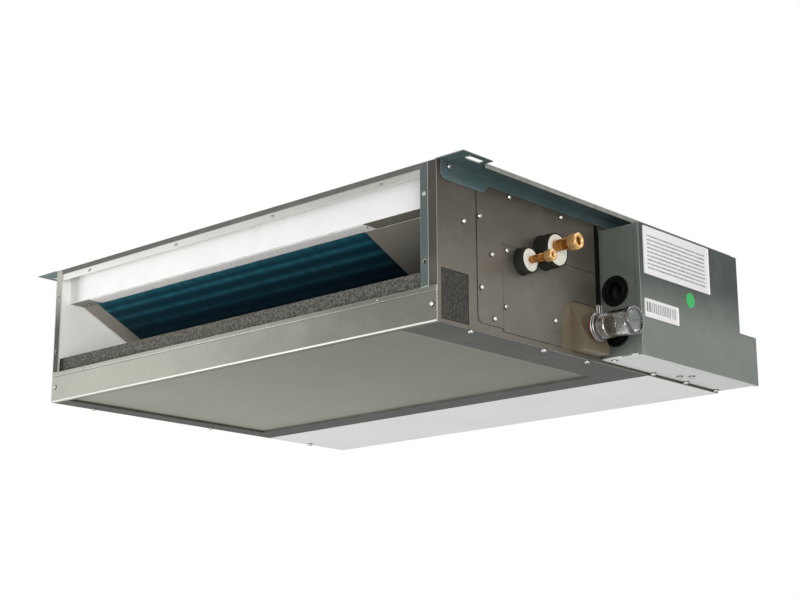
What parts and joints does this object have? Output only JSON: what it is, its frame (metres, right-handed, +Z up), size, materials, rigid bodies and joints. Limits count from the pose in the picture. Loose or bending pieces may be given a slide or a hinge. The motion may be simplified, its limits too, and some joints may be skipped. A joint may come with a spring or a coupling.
{
  "type": "ducted air conditioner",
  "caption": "Low ducted air conditioner for a ceiling void: slanted finned coil behind a wide discharge opening, blower section, hanger rails, side pipes, drain and electrical box.",
  "frame": {"origin": "middle of the base of the overall box, on the plane of the underside", "axes": "+X across the cabinet towards the pipe and electrical side, -Y out of the discharge face, +Z up"},
  "size_m": [1.098, 0.773, 0.25],
  "materials": {
    "galvanised": "satin zinc coating",
    "galvanised_dark": "satin zinc coating, brownish grey",
    "galvanised_blue": "satin zinc coating, bluish grey",
    "galvanised_light": "satin zinc coating, light",
    "white_sheet": "matte white",
    "white_foam": "closed-cell foam",
    "grey_foam": "mottled foam",
    "pan_plastic": "moulded",
    "coil_fins": "blue water-shedding coat",
    "copper": "drawn copper",
    "brass": "turned",
    "rubber": "matte",
    "cup_plastic": "moulded",
    "clear_plastic": "clear moulded plastic",
    "housing_plastic": "moulded",
    "impeller_plastic": "moulded",
    "motor_paint": "satin",
    "steel": "bright",
    "filter_plastic": "moulded",
    "filter_net": "fine net",
    "board_green": "coated board",
    "terminal_white": "moulded"
  },
  "bodies": {
    "cabinet": {"top_panel": "galvanised", "left_side_panel": "galvanised", "right_side_panel": "galvanised_dark", "access_plate": "galvanised_dark", "pipe_plate": "galvanised_dark", "lower_front_panel": "galvanised_light", "coil_bottom_panel": "galvanised", "fan_bottom_panel": "galvanised_light", "discharge_flange_left": "galvanised", "discharge_flange_right": "galvanised", "discharge_flange_top": "galvanised", "upper_baffle": "white_sheet", "left_wall_liner": "white_foam", "drain_pan": "pan_plastic", "drain_pan_foam": "grey_foam", "drain_pan_end_foam": "grey_foam", "coil_block": "coil_fins", "coil_end_plate_left": "galvanised", "coil_end_plate_right": "galvanised", "blank_off_plate": "galvanised_dark", "gas_header": "copper", "liquid_manifold": "copper", "gas_pipe": "copper", "liquid_pipe": "copper", "gas_union": "brass", "liquid_union": "brass", "gas_sleeve": "rubber", "liquid_sleeve": "rubber", "gas_foam_core": "white_foam", "liquid_foam_core": "white_foam", "drain_outlet_cup": "cup_plastic", "drain_socket": "clear_plastic", "drain_clamp": "steel", "partition_plate": "galvanised", "fan_housing_left_upper": "housing_plastic", "fan_housing_left_lower": "housing_plastic", "fan_housing_right_upper": "housing_plastic", "fan_housing_right_lower": "housing_plastic", "fan_motor": "motor_paint", "motor_cradle": "galvanised", "motor_strap": "steel", "return_flange_top": "galvanised", "return_flange_bottom": "galvanised", "hanger_rail_left": "galvanised_blue", "hanger_rail_right": "galvanised_blue", "ebox_body": "galvanised_dark", "ebox_cover": "galvanised_dark", "cable_grommet_upper": "rubber", "cable_grommet_lower": "rubber", "control_board": "board_green", "terminal_block": "terminal_white", "run_capacitor": "terminal_white"},
    "fan_rotor": {"fan_shaft": "steel", "impeller_left": "impeller_plastic", "impeller_right": "impeller_plastic"},
    "air_filter": {"air_filter_frame": "filter_plastic", "air_filter_net": "filter_net"},
    "gas_nut": {"gas_flare_nut": "brass"},
    "liquid_nut": {"liquid_flare_nut": "brass"}
  },
  "joints": [
    {"name": "fan_spin", "type": "hinge", "parent": "cabinet", "child": "fan_rotor", "pos_m": [-0.023, 0.2575, 0.137], "axis": [1, 0, 0], "continuous": true},
    {"name": "filter_slide", "type": "slide", "parent": "cabinet", "child": "air_filter", "axis": [-1, 0, 0], "range_m": [0, 0.9]},
    {"name": "gas_nut_turn", "type": "hinge", "parent": "cabinet", "child": "gas_nut", "pos_m": [0.515, -0.12949, 0.16096], "axis": [1, 0, 0], "continuous": true},
    {"name": "liquid_nut_turn", "type": "hinge", "parent": "cabinet", "child": "liquid_nut", "pos_m": [0.502, -0.18245, 0.12949], "axis": [1, 0, 0], "continuous": true}
  ]
}
